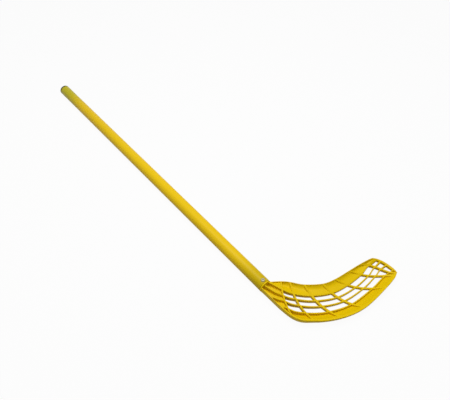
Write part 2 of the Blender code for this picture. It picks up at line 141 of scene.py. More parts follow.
# Section of the blade at the neck, the first, third and fifth rib and the toe: heights of the
# front face at the top edge, mid blade and the sole, and thickness at mid blade and the edges
SECTION_STATIONS = (0, 1, 3, 5, 8)
TOP_HEIGHT = (0.0060, 0.0060, 0.0040, 0.0035, 0.0090)
MIDDLE_HEIGHT = (0.0085, 0.0040, -0.0050, -0.0065, 0.0035)
SOLE_HEIGHT = (0.0060, 0.0060, 0.0040, 0.0035, 0.0045)
THICKNESS_MIDDLE = (0.0175, 0.0105, 0.0068, 0.0055, 0.0065)
THICKNESS_EDGE = (2 * NECK_HALF_HEIGHT, 0.0105, 0.0060, 0.0048, 0.0055)

# Pockets between the ribs. Their depths are shares of what the web's thickness leaves free.
POCKET_CLOSED = 0.0012       # gap between ribs at which a pocket ends
POCKET_OPEN = 0.0035         # gap from which it has its full depth
LOWER_FLUSH_SHARE = 0.88     # share of the lower band at which its web meets the front
LOWER_FULLNESS = 1.7         # power by which it rises to there
UPPER_FILLET_SHARE = 0.45    # share of the upper band that the fillet under its rim takes
UPPER_FILLET_DEPTH = 0.2     # depth in front at the rim
HEEL_POCKET_SHARES = (0.55, 0.60)  # depth in front at the neck and at the first rib
HEEL_TOP_SHARE = 0.25        # the same in the heel's uppermost pocket, at the top edge

# Rounded edges and faces, finer than the CAD's
RIB_ROUNDING = 0.0005
RIM_ROUNDING = 0.0011
MOST_ROUNDING = 0.48         # of a rib's width
ROUND_STEPS = 3              # faces over an edge's rounding
BAY_FACES = 12               # between two cross ribs
HEEL_FACES = 18              # from the neck to the first cross rib
BAND_FACES = 5               # between two long ribs
OUTER_BAND_FACES = 14        # across the upper and the lower band
TURN_STEPS = 96              # faces round the shaft
SMALL_TURN_STEPS = 48        # faces round the rivet
ARC_POINTS = 9               # along the rounding of the cap and the rivet's swelling
DOME_POINTS = 12             # along the dome of the rivet's head
MERGE_DISTANCE = 0.000002
SMOOTH_BELOW = math.radians(35)  # edges that turn by more stay sharp
TINY = 1e-9                  # kept from zero in a division

# Colours, linear: each pair is the darker and the lighter end of a piece's own variation
SHAFT_YELLOWS = ((0.74, 0.490, 0.003), (0.80, 0.535, 0.006))
SHAFT_SCUFF = (0.84, 0.62, 0.04)
# Painted shade at the shaft's two ends, darker than its own yellow
HANDLE_END_PAINTED_SHADE = (0.52, 0.45, 0.002)
RIVET_END_PAINTED_SHADE = (0.58, 0.41, 0.001)
PAINTED_SHADE_REACH = 0.09           # length over which the painted shade at each end fades out along the shaft
BLADE_YELLOWS = ((0.72, 0.490, 0.000), (0.78, 0.540, 0.002))
BLADE_SCUFF = (0.82, 0.60, 0.03)
CAP_BLACKS = ((0.012, 0.014, 0.010), (0.05, 0.052, 0.040))
# The metals' greys hold a yellow cast: painted reflection of the yellow plastic around them
ALUMINIUM_GREYS_AND_YELLOW_REFLECTION = ((0.22, 0.20, 0.12), (0.36, 0.33, 0.21))
STEEL_GREYS_AND_YELLOW_REFLECTION = ((0.05, 0.04, 0.02), (0.14, 0.12, 0.08))
FLOOR_GREY = (0.6, 0.6, 0.6, 1.0)  # this and white hold their opacity too
WHITE = (1.0, 1.0, 1.0, 1.0)

# Specular levels; the photo shows hardly any gloss
SHAFT_SHEEN = 0.12
BLADE_SHEEN = 0.06
CAP_SHEEN = 0.06

# Floor and light, the lamp's places from the datum
FLOOR_REACH = 4.0            # half the floor's side
FLOOR_GLOW = 0.95            # how far the floor is white to the camera; the rest is lit
SKY_STRENGTH = 0.24
KEY_OFFSET = (0.15, 0.25, 1.2)
KEY_AIM = (0.02, 0.25, 0.0)
KEY_SIZE = 0.9
KEY_WATTS = 14.2

# Camera, from the datum, and the picture's measures
CAMERA_OFFSET = Vector((-0.3163, -0.2633, 0.7048))
CAMERA_PITCH = math.radians(49.06)    # below level
CAMERA_HEADING = math.radians(40.08)  # from +Y towards +X
PICTURE_WIDTH = 450
FOCAL_PIXELS = 441
SENSOR_WIDTH = 36.0
SHIFT_PIXELS = 0.5           # the picture's middle lies between two pixels


class Number:
    """A number that varies over a surface. Arithmetic on it adds Math nodes."""

    def __init__(self, tree, socket):
        self.tree = tree
        self.socket = socket

    def __add__(self, other):
        return self.tree.maths("ADD", self, other)

    def __rsub__(self, other):
        return self.tree.maths("SUBTRACT", other, self)

    def __mul__(self, other):
        return self.tree.maths("MULTIPLY", self, other)

    __radd__ = __add__
    __rmul__ = __mul__

    def ramp(self, low, high, to_low=0.0, to_high=1.0):
        """Eases from to_low to to_high as this number goes from low to high."""
        node = self.tree.node("MapRange", {"interpolation_type": "SMOOTHSTEP"}, {
            "Value": self, "From Min": low, "From Max": high, "To Min": to_low, "To Max": to_high})
        return Number(self.tree, node.outputs["Result"])


class Tree:
    """The node tree of a material or of the world, and ways to add to it."""

    def __init__(self, tree):
        self.tree = tree

    def node(self, kind, settings=None, inputs=None):
        """A node of this type: its settings first, then its sockets' values or links."""
        made = self.tree.nodes.new("ShaderNode" + kind)
        for name, value in (settings or {}).items():
            setattr(made, name, value)
        for name, value in (inputs or {}).items():
            self.feed(made.inputs[name], value)
        return made

    def feed(self, socket, value):
        """Links a socket to a number or another socket, or sets its value."""
        if isinstance(value, Number):
            value = value.socket
        if isinstance(value, bpy.types.NodeSocket):
            self.tree.links.new(value, socket)
        else:
            socket.default_value = value

    def maths(self, operation, *values):
        """A Math node on these values."""
        node = self.node("Math", {"operation": operation}, dict(enumerate(values)))
        return Number(self, node.outputs["Value"])

    def seen_by_camera(self):
        """1 for rays from the camera and for those that metal, gloss and glass send on."""
        rays = self.node("LightPath").outputs
        not_camera, not_glossy, not_through = (
            1.0 - Number(self, rays[kind])
            for kind in ("Is Camera Ray", "Is Glossy Ray", "Is Transmission Ray"))
        return 1.0 - not_camera * not_glossy * not_through


class Finish(Tree):
    """One material: a Principled shader, its constants, and the nodes that vary it."""

    MIX_SHARE, MIX_FIRST, MIX_SECOND = 0, 6, 7   # the Mix node's sockets for colours
    MIX_RESULT = 2

    def __init__(self, name, constants):
        self.material = bpy.data.materials.new(name)
        self.material.use_nodes = True
        super().__init__(self.material.node_tree)
        self.shader = self.tree.nodes["Principled BSDF"]
        for socket, value in constants.items():
            self.shader.inputs[socket].default_value = value
        self.place = self.node("TexCoord").outputs["Object"]

    def along(self, axis):
        """Object coordinate along one axis."""
        return Number(self, self.node("SeparateXYZ", {}, {"Vector": self.place}).outputs[axis])

    def noise(self, scale, detail=2.0, roughness=0.5):
        """Noise from 0 to 1 with this many cells per metre along each axis."""
        place = self.node("Mapping", {}, {"Vector": self.place, "Scale": scale})
        node = self.node("TexNoise", {}, {"Vector": place.outputs["Vector"], "Scale": 1.0,
                                          "Detail": detail, "Roughness": roughness})
        return Number(self, node.outputs["Fac"])

    def mix(self, share, first, second):
        """A blend of two colours, each a socket or red, green and blue."""
        first, second = (colour if isinstance(colour, bpy.types.NodeSocket) else (*colour, 1.0)
                         for colour in (first, second))
        node = self.node("Mix", {"data_type": "RGBA"}, {
            self.MIX_SHARE: share, self.MIX_FIRST: first, self.MIX_SECOND: second})
        return node.outputs[self.MIX_RESULT]

    def complete(self, colour, roughness, height, depth):
        """Feeds the shader a colour, a roughness and a bump of this depth where the height is 1.
        Returns the material."""
        bump = self.node("Bump", {}, {"Height": height, "Distance": depth})
        for socket, value in (("Base Color", colour), ("Roughness", roughness),
                              ("Normal", bump.outputs["Normal"])):
            self.feed(self.shader.inputs[socket], value)
        return self.material


def shaft_plastic():
    """Extruded plastic: faint lines along the tube, uneven gloss and a few fine scuffs, with
    painted shade that makes it darker and greener towards the handle's end and darker and browner
    towards the rivet's."""
    finish = Finish("shaft_plastic", {"Specular IOR Level": SHAFT_SHEEN})
    lines = finish.noise((900, 9, 900), detail=3.0)
    cloud = finish.noise((14, 5, 14))
    scuffs = finish.noise((260, 60, 260), detail=4.0, roughness=0.7).ramp(0.66, 0.78)
    y = finish.along("Y")
    colour = finish.mix(cloud, *SHAFT_YELLOWS)
    # painted shade: darker and greener towards the handle's end
    colour = finish.mix(y.ramp(CAP_LOW.y - PAINTED_SHADE_REACH, CAP_LOW.y), colour, HANDLE_END_PAINTED_SHADE)
    # painted shade: darker and browner towards the rivet's end
    colour = finish.mix(y.ramp(TUBE_LOW.y, TUBE_LOW.y + PAINTED_SHADE_REACH), RIVET_END_PAINTED_SHADE, colour)
    colour = finish.mix(0.35 * scuffs, colour, SHAFT_SCUFF)
    return finish.complete(colour, roughness=0.36 + 0.10 * lines + 0.12 * scuffs,
                           height=lines, depth=0.00006)


def blade_plastic():
    """Injection-moulded plastic: a faint orange peel, softer flow marks, scuffs."""
    finish = Finish("blade_plastic", {"Specular IOR Level": BLADE_SHEEN})
    peel = finish.noise((420, 420, 420))
    flow = finish.noise((22, 22, 22), detail=3.0, roughness=0.6)
    scuffs = finish.noise((300, 300, 300), detail=4.0, roughness=0.7).ramp(0.66, 0.8)
    colour = finish.mix(0.3 * scuffs, finish.mix(flow, *BLADE_YELLOWS), BLADE_SCUFF)
    return finish.complete(colour, roughness=0.34 + 0.12 * flow + 0.10 * scuffs,
                           height=peel, depth=0.00005)


def cap_plastic():
    """Dark moulded plastic, fine grained and a little worn."""
    finish = Finish("cap_plastic", {"Specular IOR Level": CAP_SHEEN})
    grain = finish.noise((1800, 1800, 1800))
    wear = finish.noise((240, 240, 240), detail=4.0, roughness=0.7).ramp(0.58, 0.75)
    colour = finish.mix(0.5 * wear, *CAP_BLACKS)
    return finish.complete(colour, roughness=0.42 + 0.2 * wear, height=grain, depth=0.00003)


def rivet_aluminium():
    """Bare aluminium, dulled unevenly, its grey tinted yellow by a painted reflection of the
    plastic.
    """
    finish = Finish("rivet_aluminium", {"Metallic": 1.0})
    tarnish = finish.noise((900, 900, 900), detail=3.0)
    colour = finish.mix(tarnish, *ALUMINIUM_GREYS_AND_YELLOW_REFLECTION)
    return finish.complete(colour, roughness=tarnish.ramp(0.2, 0.8, 0.50, 0.65),
                           height=tarnish, depth=0.00002)


def rivet_steel():
    """The steel stem's torn end, dark and rough, its grey tinted yellow by a painted reflection of
    the plastic.
    """
    finish = Finish("rivet_steel", {"Metallic": 1.0})
    tear = finish.noise((2600, 2600, 2600), detail=3.0, roughness=0.7)
    return finish.complete(finish.mix(tear, *STEEL_GREYS_AND_YELLOW_REFLECTION), roughness=0.45 + 0.2 * tear,
                           height=tear, depth=0.0001)


def new_object(name, points, faces, material=None):
    """An object from points and faces: points that fall together are merged, faces without area
    go, and normals point out. Edges sharper than the smoothing angle stay sharp."""
    mesh = bpy.data.meshes.new(name)
    mesh.from_pydata(points, [], faces)
    body = bmesh.new()
    body.from_mesh(mesh)
    bmesh.ops.remove_doubles(body, verts=body.verts, dist=MERGE_DISTANCE)
    bmesh.ops.dissolve_degenerate(body, edges=body.edges, dist=MERGE_DISTANCE)
    loose = [vert for vert in body.verts if not vert.link_faces]
    bmesh.ops.delete(body, geom=loose, context="VERTS")
    bmesh.ops.recalc_face_normals(body, faces=body.faces)
    body.to_mesh(mesh)
    body.free()
    made = bpy.data.objects.new(name, mesh)
    bpy.context.scene.collection.objects.link(made)
    shade(made, material)
    return made


def shade(piece, material):
    """Smooth shading with sharp edges, and one material or none."""
    piece.data.shade_smooth()
    piece.data.set_sharp_from_angle(angle=SMOOTH_BELOW)
    piece.data.materials.clear()
    if material is not None:
        piece.data.materials.append(material)


def combine(piece, steps):
    """Applies Boolean operations with helper shapes, which then go."""
    for operation, helper in steps:
        step = piece.modifiers.new(operation.lower(), "BOOLEAN")
        step.operation = operation
        step.solver = "EXACT"
        step.object = helper
    graph = bpy.context.evaluated_depsgraph_get()
    mesh = bpy.data.meshes.new_from_object(piece.evaluated_get(graph))
    piece.modifiers.clear()
    piece.data = mesh
    for _, helper in steps:
        bpy.data.objects.remove(helper)


def rounded(outline, radius):
    """A closed outline with an arc of this radius at each corner: it starts and ends where the
    circle touches the two sides, at radius / tan(half the corner's angle) from it."""
    corners = np.asarray(outline, float)
    points = []
    for k, corner in enumerate(corners):
        before = corners[k - 1] - corner
        after = corners[(k + 1) % len(corners)] - corner
        before /= np.linalg.norm(before)
        after /= np.linalg.norm(after)
        half = math.acos(np.clip(before @ after, -1, 1)) / 2
        middle = before + after
        centre = corner + middle / np.linalg.norm(middle) * radius / math.sin(half)
        first = corner + before * radius / math.tan(half) - centre
        last = corner + after * radius / math.tan(half) - centre
        turn = math.pi - 2 * half
        t = np.linspace(0, 1, ROUND_STEPS + 1)[:, None]
        points.append(centre + (first * np.sin((1 - t) * turn) + last * np.sin(t * turn))
                      / math.sin(turn))
    return np.concatenate(points)


def turned(name, outline, origin, lying, material=None, steps=TURN_STEPS):
    """A surface of revolution: the point at angle a on an outline of (radius, height) points is
    (radius cos a, radius sin a, height). The outline is closed, or starts and ends on the axis.
    A lying piece has its axis along +Y, and any other along +Z."""
    radius, height = np.asarray(outline, float).T
    angle = np.arange(steps) * 2 * math.pi / steps
    x = radius[:, None] * np.cos(angle)
    y = radius[:, None] * np.sin(angle)
    z = np.broadcast_to(height[:, None], x.shape)
    grid = np.stack([x, z, -y] if lying else [x, y, z], axis=-1) + np.array(origin)
    count = len(radius)
    row, step = np.meshgrid(np.arange(count), np.arange(steps), indexing="ij")
    if radius[0] == 0.0:
        row, step = row[:-1], step[:-1]
    below, beside = (row + 1) % count, (step + 1) % steps
    faces = np.stack([row * steps + step, row * steps + beside,
                      below * steps + beside, below * steps + step], axis=-1)
    return new_object(name, grid.reshape(-1, 3), faces.reshape(-1, 4).tolist(), material)


def curve_through(knots, values, at):
    """A smooth curve through values or points at the knots: cubic pieces that share, at each
    knot, the mean of the slopes on its two sides, held to twice the lesser one."""
    knots = np.asarray(knots, float)
    points = np.asarray(values, float).reshape(len(knots), -1)
    sides = np.diff(points, axis=0) / np.diff(knots)[:, None]
    mean = (sides[:-1] + sides[1:]) / 2
    steep = np.linalg.norm(sides, axis=1)
    most = 2 * np.minimum(steep[:-1], steep[1:])
    held = np.minimum(1.0, most / np.maximum(np.linalg.norm(mean, axis=1), TINY))
    slopes = np.concatenate([sides[:1], mean * held[:, None], sides[-1:]])
    piece = np.clip(np.searchsorted(knots, at, side="right") - 1, 0, len(knots) - 2)
    length = knots[piece + 1] - knots[piece]
    t = ((at - knots[piece]) / length)[..., None]
    length = length[..., None]
    curve = ((2 * t ** 3 - 3 * t ** 2 + 1) * points[piece]
             + (t ** 3 - 2 * t ** 2 + t) * length * slopes[piece]
             + (3 * t ** 2 - 2 * t ** 3) * points[piece + 1]
             + (t ** 3 - t ** 2) * length * slopes[piece + 1])
    return curve if np.ndim(values) > 1 else curve[..., 0]


def plan(s, v):
    """Plan position at station s and at share v of the way from the top edge to the sole: on the
    chord between the two edges, pushed sideways by a parabola as high as the station's bow and
    by its sag times v cubed (1 - v), scaled to 1 at its peak. The toe's corners are rounded: what
    lies near one is drawn in, more with the square of how near it is."""
    knots = range(len(STATIONS))
    top, sole, bow, sag = (curve_through(knots, [station[k] for station in STATIONS], s)
                           for k in range(4))
    chord = sole - top
    across = np.stack([-chord[..., 1], chord[..., 0]], axis=-1)
    across /= np.linalg.norm(across, axis=-1, keepdims=True)
    late = v ** 3 * (1 - v) / (SAG_PEAK ** 3 * (1 - SAG_PEAK))
    flat = top + chord * v[..., None] + across * (4 * v * (1 - v) * bow + late * sag)[..., None]
    for edge, beside, reach, depth in TOE_CORNERS:
        corner, before, after = (np.array(end) for end in (
            STATIONS[TOE][edge], STATIONS[beside][edge], STATIONS[TOE][1 - edge]))
        inward = sum((end - corner) / np.linalg.norm(end - corner) for end in (before, after))
        near = np.clip(1 - np.linalg.norm(flat - corner, axis=-1) / reach, 0.0, None)
        flat = flat + inward / np.linalg.norm(inward) * (depth * near ** 2)[..., None]
    return flat


def spacing(s, v):
    """Distances in plan between neighbouring stations, square to the cross ribs, and between the
    two edges, square to the long ribs, at (s, v)."""
    step = SPACING_STEP
    along = (plan(s + step, v) - plan(s - step, v)) / (2 * step)
    across = (plan(s, v + step) - plan(s, v - step)) / (2 * step)
    area = np.abs(along[..., 0] * across[..., 1] - along[..., 1] * across[..., 0])
    return area / np.linalg.norm(across, axis=-1), area / np.linalg.norm(along, axis=-1)


def front_and_back(s, v):
    """Heights of the front and back faces of a rib: parabolas across the blade."""
    top, middle, sole, thick, thin = (
        curve_through(SECTION_STATIONS, values, s)
        for values in (TOP_HEIGHT, MIDDLE_HEIGHT, SOLE_HEIGHT, THICKNESS_MIDDLE, THICKNESS_EDGE))
    edge_share = (2 * v - 1) ** 2
    front = middle + (2 * v - 1) * (sole - top) / 2 + edge_share * ((top + sole) / 2 - middle)
    return front, front - thick - (thin - thick) * edge_share


def rib_shares(width, rounding):
    """Shares of a rib's width at which lines run along it: where an arc of the rounding, at most
    half as large as the rib, has turned by equal angles, on both sides, and the middle."""
    angles = np.linspace(0, math.pi / 2, ROUND_STEPS + 1)
    side = min(rounding, MOST_ROUNDING * width) * (1 - np.cos(angles)) / width
    return [*side, 0.5, *(1 - side[:0:-1])]


def cross_rib(station):
    """Width and rounding by which the lines on the cross rib at a station are spread. For the
    toe's rim they are the sole's, though its own width is another."""
    if station == TOE:
        return RIM_WIDTH, RIM_ROUNDING
    return CROSS_RIB_WIDTHS[station - 1], RIB_ROUNDING


def column_lines():
    """Lines across the blade, heel to toe, as (begin, end, share, bay): each lies at a share of
    the way between two (station, side) places, where side -1 is the rib's edge towards the heel
    and 1 the one towards the toe. The bay is -1 on a rib. The first line is in the shoulder."""
    lines = [((0, -1), (0, 0), 0.0, -1)]
    for bay in range(TOE):
        station = bay + 1
        begin = (bay, 1 if bay else 0)
        rib = ((station, -1), (station, 0 if station == TOE else 1))
        count = HEEL_FACES if bay == 0 else BAY_FACES
        lines += [(begin, rib[0], k / count, bay) for k in range(count)]
        lines += [(*rib, share, -1) for share in rib_shares(*cross_rib(station))]
    lines.append(((TOE, 0), (TOE, 0), 0.0, -1))
    return lines


def row_lines():
    """Lines along the blade, top edge to sole, as (strip, share, band): each lies at a share of
    the width of a strip between two neighbouring rib edges. The band is -1 on a rib."""
    top_rim, long_rib = (TOP_RIM_WIDTH, RIM_ROUNDING), (LONG_RIB_WIDTH, RIB_ROUNDING)
    lines = []
    for band in range(SOLE + 1):
        lines += [(2 * band, share, -1) for share in rib_shares(*(long_rib if band else top_rim))]
        count = OUTER_BAND_FACES if band in (0, SOLE) else BAND_FACES
        shares = {k / count for k in range(count)}
        if band == SOLE:
            shares.add(LOWER_FLUSH_SHARE)
        lines += [(2 * band + 1, share, band) for share in sorted(shares)]
    sole_rim = [*rib_shares(RIM_WIDTH, RIM_ROUNDING), 1.0]
    return lines + [(2 * SOLE + 2, share, -1) for share in sole_rim]


def column_places(columns, v):
    """Stations of the lines across the blade at the shares v, columns by rows: a rib's edge lies
    half its width from its station, the toe rim's inner edge the rim's whole width, which grows
    with the square of the share."""
    halves = np.array([SHOULDER_HEIGHT / 2, *(width / 2 for width in CROSS_RIB_WIDTHS), 0.0])
    measured = np.minimum(v, SOLE_MEASURED_SHARE)
    at_top, at_sole = TOE_RIM_WIDTHS
    toe_rim = at_top + (at_sole - at_top) * measured ** 2
    ends = []
    for end in (0, 1):
        station, side = (np.array([column[end][k] for column in columns], float)[:, None]
                         for k in (0, 1))
        at_toe = station == TOE
        distance = np.where(at_toe, toe_rim, halves[station.astype(int)])
        unit = spacing(station, np.where(at_toe, measured, v))[0]
        ends.append(station + side * distance / unit)
    share = np.array([column[2] for column in columns])[:, None]
    return ends[0] * (1 - share) + ends[1] * share


def rib_edges(s):
    """Shares v of all rib edges at the stations s, from the top edge to the sole, on a new last
    axis. Ribs that run together, or run into the sole, keep the crowding distance."""
    at_top, at_middle, at_sole = (spacing(s, np.full_like(s, v))[1]
                                  for v in (0.0, 0.5, SOLE_MEASURED_SHARE))
    edges = [np.zeros_like(s), TOP_RIM_WIDTH / at_top]
    width = NECK_RIB_WIDTH + (LONG_RIB_WIDTH - NECK_RIB_WIDTH) * np.clip(s, 0.0, 1.0)
    for rib in LONG_RIBS:
        centre = curve_through(LONG_RIB_STATIONS, rib, s)
        half = width / 2 / spacing(s, np.clip(centre, 0.0, SOLE_MEASURED_SHARE))[1]
        edges += [centre - half, centre + half]
    edges += [1 - RIM_WIDTH / at_sole, np.ones_like(s)]
    edges = np.stack(edges, axis=-1)
    apart = (ROW_CROWDING / at_middle)[..., None] * np.arange(edges.shape[-1])
    edges = np.maximum.accumulate(edges - apart, axis=-1) + apart
    edges[..., -1] = 1.0
    return np.minimum.accumulate((edges - apart)[..., ::-1], axis=-1)[..., ::-1] + apart


def lattice_places(columns, strip, share):
    """Stations and shares where the lines cross, columns by rows, and all rib edges there. Each
    row lies at a share of its strip."""
    v = np.tile(np.linspace(0, 1, len(strip)), (len(columns), 1))
    rows = np.arange(len(strip))
    for _ in range(PLACE_PASSES):
        s = column_places(columns, v)
        edges = rib_edges(s)
        v = edges[:, rows, strip] * (1 - share) + edges[:, rows, strip + 1] * share
    return s, v, edges


def strip_widths(edges, strip):
    """The width, as a share, of the strip given for each row."""
    rows = np.arange(len(strip))
    return edges[:, rows, strip + 1] - edges[:, rows, strip]


def nearest_gaps(marks):
    """For each line, the bay or band that it lies in or, on a rib, the one on the nearer side,
    and whether that one comes after it. -1 stands for a place beyond the blade."""
    marks = [-1, *marks, -1]
    last = len(marks) - 1
    gaps = [k for k, mark in enumerate(marks) if mark >= 0 or k in (0, last)]
    found, after = [], []
    for k in range(1, last):
        back = max(gap for gap in gaps if gap < k)
        ahead = min(gap for gap in gaps if gap >= k)
        after.append(ahead == k or ahead - k < k - back)
        found.append(marks[ahead if after[-1] else back])
    return np.array(found), np.array(after)


def pocket_depths(s, share, gap, thickness, in_bay, in_band):
    """How deep the webs lie under the front and under the back face of the ribs, at a share of
    the way across each band, where the ribs beside it are this gap apart. A pocket eases shut
    where its ribs close up. In the upper band, the web falls from the front at the first long
    rib towards the back, and a round fillet leads up from there to the rim. In the lower band
    it rises from the back to the front by a power of the share."""
    opened = np.clip((gap - POCKET_CLOSED) / (POCKET_OPEN - POCKET_CLOSED), 0, 1)
    free = (thickness - WEB_THICKNESS) * opened * opened * (3 - 2 * opened)
    lower = 1 - np.minimum(share / LOWER_FLUSH_SHARE, 1.0) ** LOWER_FULLNESS
    fillet = np.minimum(share / UPPER_FILLET_SHARE, 1.0)
    rim = UPPER_FILLET_DEPTH
    upper = (1 - share) * (rim + (1 - rim) * fillet * (2 - fillet))
    neck, first = HEEL_POCKET_SHARES
    heel = np.where(in_band == 0, HEEL_TOP_SHARE * (1 - share),
                    neck + (first - neck) * np.clip(s, 0, 1))
    front = np.where(in_bay == 0, heel, np.where(in_band == 0, upper, lower))
    return free * front, free * (1 - front)


def edge_distance(off_column, off_row, past_column, past_row):
    """How far a rib's point lies from lower ground, given its distances from the rib edges that
    run across and along the blade. Past the last gap that ground is beyond the outline, so only
    the way to the outline counts. Elsewhere it is a gap, and the way to its corner counts."""
    inside = np.hypot(off_column, off_row)
    one_side = np.where(past_column, off_column, np.where(past_row, off_row, inside))
    return np.where(past_column & past_row, np.minimum(off_column, off_row), one_side)


def rounding_drop(radius, distance):
    """How far an edge rounded to this radius lies under the face, at this distance from it."""
    inside = np.clip(radius - distance, 0.0, None)
    return radius - np.sqrt(np.maximum(radius ** 2 - inside ** 2, 0.0))


def lattice_faces(bay, band):
    """Quads over four layers of points, columns by rows: the ribs' front, the webs' front, the
    ribs' back and the webs' back. Every cell is a rib, a web or a window. Ribs and webs get a
    front and a back, and walls stand along the lines between a rib and any other cell."""
    shape = len(bay), len(band)
    layers = np.arange(4 * shape[0] * shape[1]).reshape(4, *shape)
    in_band = band[None, :-1]
    window = (bay[:-1, None] > 0) & (in_band > 0) & (in_band < SOLE)
    web = (bay[:-1, None] >= 0) & (in_band >= 0) & ~window
    rib = ~window & ~web
    faces = []
    for layer, kind in zip(layers, (rib, web, rib, web)):
        quads = np.stack([layer[:-1, :-1], layer[1:, :-1], layer[1:, 1:], layer[:-1, 1:]], axis=-1)
        faces.append(quads[kind])
    for across in (False, True):
        rib_front, web_front, rib_back, web_back = (layer.T if across else layer
                                                    for layer in layers)
        ribs, webs, windows = (np.pad(kind.T if across else kind, ((1, 1), (0, 0)),
                                      constant_values=kind is window)
                               for kind in (rib, web, window))
        for upper, lower, ground in ((rib_front, web_front, webs), (rib_back, web_back, webs),
                                     (rib_front, rib_back, windows)):
            meets = (ribs[1:] & ground[:-1]) | (ground[1:] & ribs[:-1])
            quads = np.stack([upper[:, :-1], upper[:, 1:], lower[:, 1:], lower[:, :-1]], axis=-1)
            faces.append(quads[meets])
    return np.concatenate(faces).tolist()


def blade_lattice():
    """Points and faces of the slatted blade, a grid of lines laid over a curved sheet. The point
    at station s and share v lies at plan(s, v) and, on a rib, at front_and_back(s, v) in height.
    On a web it lies deeper than that by the pocket's depth. Next to lower ground, a rib is
    rounded by an arc in the distance from its edge, at most half as high as the drop there."""
    columns, rows = column_lines(), row_lines()
    column_share, bay = (np.array([column[k] for column in columns]) for k in (2, 3))
    strip, row_share, band = (np.array([row[k] for row in rows]) for k in range(3))
    s, v, edges = lattice_places(columns, strip, row_share)
    flat = plan(s, v)
    front, back = front_and_back(s, v)
    thickness = front - back
    blade_width = spacing(s, v)[1]

    near_bay, _ = nearest_gaps(bay)
    near_bay[0] = 0          # the neck runs on into the shoulder
    near_band, band_after = nearest_gaps(band)
    in_bay, in_band = near_bay[:, None], near_band[None, :]
    share = np.where(band >= 0, row_share, np.where(band_after, 0.0, 1.0))
    gap = strip_widths(edges, 2 * np.clip(near_band, 0, None) + 1) * blade_width
    front_depth, back_depth = pocket_depths(s, share, gap, thickness, in_bay, in_band)

    past_column, past_row = in_bay < 0, in_band < 0
    breadth = np.array([cross_rib(max(column[0][0], 1))[0] for column in columns])
    width = strip_widths(edges, strip) * blade_width
    off_column = np.where(bay < 0, np.minimum(column_share, 1 - column_share) * breadth, 0.0)
    off_row = np.where(band < 0, np.minimum(row_share, 1 - row_share) * width, 0.0)
    away = edge_distance(off_column[:, None], off_row, past_column, past_row)
    rounding = np.where(past_column | past_row, RIM_ROUNDING, RIB_ROUNDING)
    rounding = np.where(band < 0, np.minimum(rounding, MOST_ROUNDING * width), rounding)
    open_here = past_column | past_row | ((in_bay > 0) & (in_band > 0) & (in_band < SOLE))

    layers = []
    for face, outward, depth in ((front, 1, front_depth), (back, -1, back_depth)):
        radius = np.minimum(rounding, np.where(open_here, thickness, depth) / 2)
        radius[:2] = 0.0     # in the shoulder
        layers += [np.dstack([flat, face - outward * drop])
                   for drop in (rounding_drop(radius, away), depth)]
    return np.stack(layers).reshape(-1, 3) + np.array(DATUM), lattice_faces(bay, band)


def rivet_place():
    """Where the rivet's axis crosses the shaft's axis."""
    return Vector(((RIVET_LOW.x + RIVET_HIGH.x) / 2, (RIVET_LOW.y + RIVET_HIGH.y) / 2, DATUM.z))


def rivet_hole():
    """A helper shape for the hole that the rivet's shank passes, through the front wall only."""
    radius = RIVET_SHANK_RADIUS + SEAT_GAP
    return turned("hole", [(0.0, 2 * TUBE_RADIUS), (radius, 2 * TUBE_RADIUS), (radius, 0.0),
                           (0.0, 0.0)], rivet_place(), lying=False, steps=SMALL_TURN_STEPS)


def make_blade():
    """The blade moulding: lattice, shoulder and hollow spigot in one body."""
    blade = new_object("blade_moulding", *blade_lattice())
    radius = TUBE_RADIUS - TUBE_WALL - SEAT_GAP
    bore = radius - SPIGOT_WALL
    floor, top = SHOULDER_HEIGHT + SPIGOT_FLOOR, SHOULDER_HEIGHT + SPIGOT_LENGTH
    spigot = turned("spigot", [
        (0.0, floor), (bore, floor), (bore, top), (radius - SPIGOT_LEAD, top),
        (radius, top - SPIGOT_LEAD), (radius, SHOULDER_HEIGHT),
        (TUBE_RADIUS - SHOULDER_ROUNDING, SHOULDER_HEIGHT),
        (TUBE_RADIUS, SHOULDER_HEIGHT - SHOULDER_ROUNDING),
        (TUBE_RADIUS, SHOULDER_ROUNDING), (TUBE_RADIUS - SHOULDER_ROUNDING, 0.0), (0.0, 0.0),
    ], DATUM, lying=True)
    combine(blade, [("UNION", spigot), ("DIFFERENCE", rivet_hole())])
    shade(blade, blade_plastic())
    return blade


def make_tube():
    """The shaft: a plain tube with rounded edges and the rivet's hole near its lower end."""
    inner = TUBE_RADIUS - TUBE_WALL
    base = TUBE_LOW.y - DATUM.y
    outline = rounded([(TUBE_RADIUS, base + TUBE_LENGTH), (TUBE_RADIUS, base), (inner, base),
                       (inner, base + TUBE_LENGTH)], TUBE_EDGE_ROUNDING)
    tube = turned("shaft", outline, DATUM, lying=True)
    combine(tube, [("DIFFERENCE", rivet_hole())])
    shade(tube, shaft_plastic())
    return tube


def make_cap():
    """The end cap: rounded head flush with the tube, hollow plug with three fins below it."""
    base = TUBE_HIGH.y + SEAT_GAP - DATUM.y
    head = CAP_HIGH.y - DATUM.y - base
    length = base - (CAP_LOW.y - DATUM.y)
    fit = TUBE_RADIUS - TUBE_WALL - SEAT_GAP
    core = fit - CAP_FIN_DEPTH
    fins = []
    for k in range(CAP_FIN_COUNT):
        crest = -SEAT_GAP - CAP_FIN_PITCH * k - CAP_FIN_SLOPE
        fins += [(core, crest), (fit, crest), (core, crest - CAP_FIN_SLOPE)]
    rim = [(TUBE_RADIUS - CAP_HEAD_ROUNDING * (1 - math.sin(angle)),
            head - CAP_HEAD_ROUNDING * (1 - math.cos(angle)))
           for angle in np.linspace(0, math.pi / 2, ARC_POINTS)]
    outline = [(0.0, head), *rim, (TUBE_RADIUS, 0.0), (core, 0.0), *fins, (core, -length),
               (core - CAP_PLUG_WALL, -length), (core - CAP_PLUG_WALL, 0.0), (0.0, 0.0)]
    return turned("cap", outline, DATUM + Vector((0, base, 0)), lying=True,
                  material=cap_plastic())


